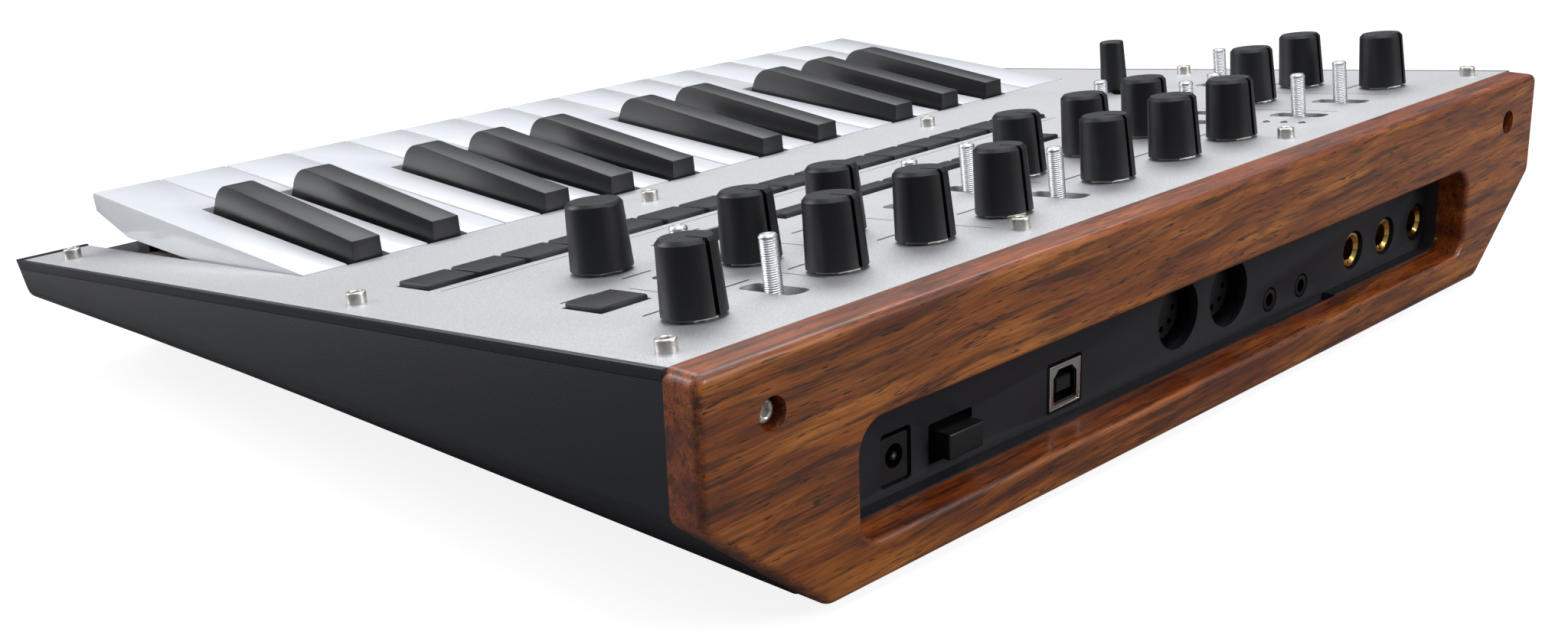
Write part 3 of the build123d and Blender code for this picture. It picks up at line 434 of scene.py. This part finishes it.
# %% Give each part its finish
def finish_of(node):
    if node.startswith("white_key"):
        return white_key_abs
    if node.startswith("black_key"):
        return black_key_abs
    if "knob" in node or node == "slider_lever":
        return knob_abs
    if node.startswith("toggle_levers"):
        return lever_metal
    return {
        "bottom_case": case_abs, "upper_frame": case_abs, "top_plate": plate_metal, "rear_wood_panel": rosewood,
        "fasteners": screw_metal, "rubber_feet": foot_rubber, "keybed_frame": frame_abs, "key_felt": key_felt,
        "circuit_boards": board_laminate, "rear_sockets": socket_abs, "usb_port": port_metal,
        "jack_bushings": gold_plate, "display_window": window_acrylic, "power_button": socket_abs,
        "panel_buttons": button_rubber,
    }[node]


for name, node in nodes.items():
    node.data.materials.clear()
    node.data.materials.append(finish_of(name))
print("finished", len(nodes), "parts")

# %% [markdown]
# ## Softened edges
#
# No moulded or turned edge is perfectly sharp: a radius of a few tenths of a millimetre is what draws the thin
# bright line along a key or a button. The quickest honest way is to copy the part, merge its flat triangles back
# into whole faces, and bevel every edge that turns by more than a set angle.

# %% Softened copies
SAME_POINT, SAME_PLANE = 0.002 * MM, math.radians(0.6)
bodies_of = {node: node_object["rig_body"] for node, node_object in nodes.items()}


def softened(node, width_mm, steps=2, round_part=False, sharp_degrees=32):
    """A copy of a part whose sharp edges are rounded by width_mm. It stands for the part from here on."""
    shape = bmesh.new()
    shape.from_mesh(nodes[node].data)
    bmesh.ops.remove_doubles(shape, verts=shape.verts, dist=SAME_POINT)
    bmesh.ops.dissolve_limit(shape, angle_limit=SAME_PLANE, verts=shape.verts, edges=shape.edges)
    least_turn = math.radians(sharp_degrees)
    sharp = [edge for edge in shape.edges if len(edge.link_faces) == 2 and edge.calc_face_angle() > least_turn]
    cut = bmesh.ops.bevel(
        shape, geom=sharp, offset=width_mm * MM, segments=steps, profile=0.5, affect="EDGES", clamp_overlap=True,
    )
    # Only the rounded strips are shaded smooth on a flat-sided part: its big faces are truly flat.
    for face in shape.faces:
        face.smooth = round_part
    for face in cut["faces"]:
        face.smooth = True
    mesh = mesh_from(node + "_softened", shape)
    if "custom_normal" in mesh.attributes:
        mesh.attributes.remove(mesh.attributes["custom_normal"])
    mesh.set_sharp_from_angle(angle=math.radians(40))
    mesh.materials.append(finish_of(node))
    piece = new_object(node + "_softened", mesh)
    if round_part:
        even = piece.modifiers.new("even shading", "WEIGHTED_NORMAL")
        even.keep_sharp = True
    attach(piece, bodies_of[node])
    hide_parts(node)
    return piece


for node in nodes:
    if node.startswith("white_key"):
        softened(node, 0.45, 3)
    elif node.startswith("black_key"):
        softened(node, 0.3, 3)
    elif "knob" in node or node == "slider_lever":
        softened(node, 0.14, round_part=True, sharp_degrees=28)
softened("panel_buttons", 0.12)
softened("power_button", 0.6, 4)
softened("usb_port", 0.12)
softened("upper_frame", 0.2)
softened("bottom_case", 0.2)
softened("top_plate", 0.1, 1)
print("softened keys, buttons, covers and knobs")

# %% [markdown]
# ## Turned parts
#
# Screws, toggles, pins and lenses are all turned on a lathe, so each is a stack of rings along one axis. A socket
# for a hexagon key is a ring too: its points are pushed out to the flats of a hexagon. One function builds them
# all, and gives real edges that catch the light, where a plain cylinder would give none.

# %% Turn a part from rings
def join_rings(shape, lower, upper):
    """A closed strip of four-sided faces between two rings with as many points."""
    for i in range(len(lower)):
        j = (i + 1) % len(lower)
        shape.faces.new((lower[i], lower[j], upper[j], upper[i]))


def turned(shape, place, axis, profile, sides=48, spin=0.0, hollow=False):
    """Rings from (radius, lift) pairs in millimetres, bottom first; a third value makes that ring a hexagon."""
    across = Matrix.Rotation(spin, 3, axis) @ axis.orthogonal().normalized()
    along = axis.cross(across)
    rings = []
    for radius, lift, *six_flats in profile:
        points = []
        for i in range(sides):
            turn = 2 * math.pi * i / sides
            reach = radius / math.cos(turn % (math.pi / 3) - math.pi / 6) if six_flats else radius
            out = across * math.cos(turn) + along * math.sin(turn)
            points.append(shape.verts.new(place + (axis * lift + out * reach) * MM))
        rings.append(points)
    for lower, upper in zip(rings, rings[1:]):
        join_rings(shape, lower, upper)
    if hollow:
        join_rings(shape, rings[-1], rings[0])
    else:
        shape.faces.new(list(reversed(rings[0])))
        shape.faces.new(rings[-1])


def finished(name, shape, material, body, crease=35):
    """Turns a bmesh into a smooth-shaded piece that rides on a body."""
    piece = new_object(name, mesh_from(name, shape))
    piece.data.materials.append(material)
    for face in piece.data.polygons:
        face.use_smooth = True
    piece.data.set_sharp_from_angle(angle=math.radians(crease))
    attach(piece, body)
    return piece


# %% [markdown]
# ## Screws
#
# Ten nickel-plated cap screws hold the plate, and two deeper ones the wood. Each head has a rounded rim and a
# hexagon socket, and no two stop at the same angle. The flat nuts under the knobs are in the same bag.

# %% Screws and nuts
plate_screws = [(x, y) for y in (-121.5, 17) for x in (-166, 166)]
plate_screws += [(-165.5, 119), (165.5, 119), (-58, -7), (58, -7), (-58, 118.5), (58, 118.5)]
wood_screws = [Vector((x, 133.0, 47.0)) * MM for x in (-156.4, 156.4)]
REARWARD = Vector((0, 1, 0))
angles = random.Random(25)


def cap_screw(shape, place, axis, radius, height, key):
    """A head with a rounded rim and a socket for a hexagon key that measures 2 * key across its flats."""
    turned(shape, place, axis, [
        (radius, 0.02), (radius, height - 0.45), (radius - 0.06, height - 0.2), (radius - 0.2, height - 0.06),
        (radius - 0.42, height), (key * 1.3, height), (key, height - 0.18, 6), (key, height - 1.1, 6),
    ], spin=angles.uniform(0, math.tau))


screw_shape = bmesh.new()
for x, y in plate_screws:
    cap_screw(screw_shape, on_panel(x, y), panel_normal, 2.25, 2.6, 1.05)
for place in wood_screws:
    cap_screw(screw_shape, place, REARWARD, 2.5, 1.8, 1.3)
nut = [(3.4, 0.02), (4.7, 0.02, 6), (4.7, 0.35, 6), (4.5, 0.5, 6), (3.4, 0.5)]
for name, joint in joints.items():
    if name.endswith("_turn"):
        turned(screw_shape, Vector(joint["pos_m"]), panel_normal, nut, hollow=True)
screws = finished("turned_screws", screw_shape, screw_metal, bodies_of["fasteners"])
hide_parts("fasteners")
print("screws:", len(plate_screws) + len(wood_screws))

# %% [markdown]
# ## Threaded toggles
#
# Each toggle is a bright steel stub with a fine thread cut down it, so it glitters in short bars of light and
# dark. A real thread is a helix: two spirals wind down together, one at the crest and one at the root, and the
# surface between them is the flank. The pitch is the real half millimetre, cut a little deeper so that it shows.

# %% Cut the threads
LEVER_RADIUS, LEVER_TOP, LEVER_PIVOT = 2.1, 11.8, -9.0
THREAD_PITCH, THREAD_DEPTH, THREAD_SIDES, THREAD_FOOT = 0.5, 0.2, 24, -5.0
lever_rows = {
    "toggle_levers_rear": (103.6, (122, 24, -91, -115)),
    "toggle_levers_middle": (76.3, (122, 46, 24, -76, -91)),
    "toggle_levers_front": (46.5, (-76, -142)),
}


def thread(shape, place, axis, radius, bottom, top):
    """The two spirals of a thread and the flanks between them, between two heights."""
    across = axis.orthogonal().normalized()
    along = axis.cross(across)
    steps = int((top - bottom) / THREAD_PITCH * THREAD_SIDES)
    crest, root = [], []
    for i in range(steps + 1):
        turn = math.tau * i / THREAD_SIDES
        lift = bottom + THREAD_PITCH * i / THREAD_SIDES
        out = across * math.cos(turn) + along * math.sin(turn)
        crest.append(shape.verts.new(place + (axis * lift + out * radius) * MM))
        inner = axis * (lift + THREAD_PITCH / 2) + out * (radius - THREAD_DEPTH)
        root.append(shape.verts.new(place + inner * MM))
    for i in range(steps):
        shape.faces.new((crest[i], crest[i + 1], root[i + 1], root[i]))
        if i + 1 + THREAD_SIDES <= steps:
            shape.faces.new((root[i], root[i + 1], crest[i + 1 + THREAD_SIDES], crest[i + THREAD_SIDES]))


core = LEVER_RADIUS - THREAD_DEPTH
crest_radius = LEVER_RADIUS - 0.02
stub = [
    (1.2, LEVER_PIVOT - 1.6), (core, LEVER_PIVOT - 0.6), (core, LEVER_TOP - 1.0),
    (crest_radius, LEVER_TOP - 0.9), (crest_radius, LEVER_TOP - 0.55),
    (LEVER_RADIUS - 0.35, LEVER_TOP - 0.1), (LEVER_RADIUS - 0.6, LEVER_TOP - 0.02),
    (0.9, LEVER_TOP - 0.02), (0.5, LEVER_TOP - 0.15),
]
for row, (row_y, row_xs) in lever_rows.items():
    shape = bmesh.new()
    for x in row_xs:
        foot = on_panel(x, row_y)
        turned(shape, foot, panel_normal, stub, sides=THREAD_SIDES)
        thread(shape, foot, panel_normal, crest_radius, THREAD_FOOT, LEVER_TOP - 1.1)
    levers = finished(row + "_threaded", shape, lever_metal, bodies_of[row])
    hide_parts(row)
print("threaded levers in", len(lever_rows), "rows")

# %% [markdown]
# ## Small parts in the sockets
#
# Three details tell a real socket from a hole: the sheet-metal lip with cut corners round the data port, with its
# black insulator and tongue behind it, the bright pin in the power inlet, and the lens in each indicator hole.

# %% Extruded outlines facing the rear
USB_AT = (48.9, 19.4)
INLET_AT = (108.4, 20.0)
TONGUE_SIZE, TONGUE_Y = (5.9, 12.4, 3.5), 118.0
LENS_X, LENS_YS = -79.3, (100.0, 105.6, 111.2)


def rear_ring(name, outline, hole, y_inner, y_outer, material):
    """A flat ring in the rear wall, between two outlines of as many points, given as x, z in millimetres."""
    shape = bmesh.new()
    loops = []
    for points, y in ((outline, y_inner), (outline, y_outer), (hole, y_outer), (hole, y_inner)):
        loops.append([shape.verts.new((x * MM, y * MM, z * MM)) for x, z in points])
    for a, b in zip(loops, loops[1:] + loops[:1]):
        join_rings(shape, a, b)
    bmesh.ops.recalc_face_normals(shape, faces=shape.faces)
    piece = new_object(name, mesh_from(name, shape))
    piece.data.materials.append(material)
    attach(piece, "housing")
    return piece


def cut_corner_rectangle(centre, width, height, cut):
    """Eight points of a rectangle whose two upper corners are cut by cut, and the lower ones hardly."""
    (cx, cz), w, h, low = centre, width / 2, height / 2, 0.3
    return [
        (cx - w, cz - h + low), (cx - w + low, cz - h), (cx + w - low, cz - h), (cx + w, cz - h + low),
        (cx + w, cz + h - cut), (cx + w - cut, cz + h), (cx - w + cut, cz + h), (cx - w, cz + h - cut),
    ]


rear_ring(
    "data_port_lip", cut_corner_rectangle(USB_AT, 10.8, 9.7, 0.05),
    cut_corner_rectangle(USB_AT, 9.0, 8.3, 1.9), 124.1, 124.7, port_metal,
)
rear_ring(
    "data_port_insulator", cut_corner_rectangle(USB_AT, 10.75, 9.65, 0.05),
    cut_corner_rectangle(USB_AT, 8.7, 8.0, 1.9), 110.6, 124.1, socket_abs,
)

tongue_shape = bmesh.new()
bmesh.ops.create_cube(tongue_shape, size=1.0)
bmesh.ops.scale(tongue_shape, vec=Vector(TONGUE_SIZE) * MM, verts=tongue_shape.verts)
tongue_at = Vector((USB_AT[0], TONGUE_Y, USB_AT[1])) * MM
bmesh.ops.translate(tongue_shape, vec=tongue_at, verts=tongue_shape.verts)
bmesh.ops.bevel(tongue_shape, geom=tongue_shape.edges[:], offset=0.3 * MM, segments=2, affect="EDGES")
tongue = new_object("data_port_tongue", mesh_from("data_port_tongue", tongue_shape))
tongue.data.materials.append(button_rubber)
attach(tongue, "housing")

# %% Inlet pin and indicator lenses
pin_shape = bmesh.new()
turned(pin_shape, Vector((INLET_AT[0], 114.2, INLET_AT[1])) * MM, REARWARD, [
    (0.9, 0.0), (0.9, 9.0), (0.75, 9.45), (0.4, 9.7),
], sides=24)
finished("inlet_pin", pin_shape, screw_metal, "housing")

lens_shape = bmesh.new()
for y in LENS_YS:
    turned(lens_shape, on_panel(LENS_X, y), panel_normal, [
        (1.15, -1.9), (1.15, -0.3), (1.0, 0.0), (0.7, 0.2), (0.35, 0.3),
    ], sides=24)
finished("indicator_lenses", lens_shape, window_acrylic, "housing")
print("socket details made")

# %% [markdown]
# ## Printed lines
#
# The legend on the panel is screen-printed in thin black ink. Only its ruled lines are made here, with a short
# bar where each control's name would stand. Ink has almost no thickness, so each line is a sheet two hundredths
# of a millimetre thick that lies on the plate.

# %% Rule the panel
INK_LIFT, INK_HEIGHT = 0.01, 0.02
HALF_RULE, HALF_NAME, HALF_NAME_HEIGHT = 0.12, 4.2, 0.35
STEPS, STEP_FIRST_X, STEP_PITCH = 16, 145.4, 14.4
FUNCTIONS, FUNCTION_FIRST_X, FUNCTION_PITCH = 8, 59.55, 14.2
ink_shape = bmesh.new()


def ink_bar(x0, y0, x1, y1):
    """A printed bar between two opposite corners."""
    corners = ((x0, y0), (x1, y0), (x1, y1), (x0, y1))
    low, high = [[ink_shape.verts.new(on_panel(x, y, lift)) for x, y in corners]
                 for lift in (INK_LIFT, INK_LIFT + INK_HEIGHT)]
    join_rings(ink_shape, low, high)
    ink_shape.faces.new(list(reversed(low)))
    ink_shape.faces.new(high)


ink_bar(-77.0, 28.1, 151.5, 28.35)
rules = [
    (133.2, 71.0, 90.0), (110.5, 92.0, 108.0), (88.0, 68.0, 90.0), (60.0, 68.0, 112.0),
    (12.5, 66.0, 90.0), (-98.0, 66.0, 112.0), (-128.0, 66.0, 112.0),
]
for x, y0, y1 in rules:
    ink_bar(x - HALF_RULE, y0, x + HALF_RULE, y1)
name_bars = [
    (145.0, 93.6), (103.5, 93.6), (74.5, 93.6), (46.0, 93.6), (4.0, 93.6), (-26.0, 93.6), (-54.5, 93.6),
    (-142.0, 93.6), (104.0, 67.6), (75.0, 67.0), (4.0, 66.4), (-26.0, 66.2), (-54.5, 66.0), (-112.0, 66.0),
    (-142.0, 65.4), (123.5, 62.2), (144.4, 66.8), (122.0, 92.0), (24.0, 92.0), (86.3, 38.0),
]
for x, y in name_bars:
    ink_bar(x - HALF_NAME, y - HALF_NAME_HEIGHT, x + HALF_NAME, y + HALF_NAME_HEIGHT)
for i in range(STEPS):
    x = STEP_FIRST_X - STEP_PITCH * i
    ink_bar(x - 1.2, 9.4, x + 1.2, 9.9)
for i in range(FUNCTIONS):
    x = FUNCTION_FIRST_X - FUNCTION_PITCH * i
    ink_bar(x - 3.6, 43.2, x + 3.6, 43.7)
print("ruled", len(rules) + 1, "lines and", len(name_bars), "name bars")
ink = new_object("printed_lines", mesh_from("printed_lines", ink_shape))
ink.data.materials.append(frame_abs)
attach(ink, "housing")
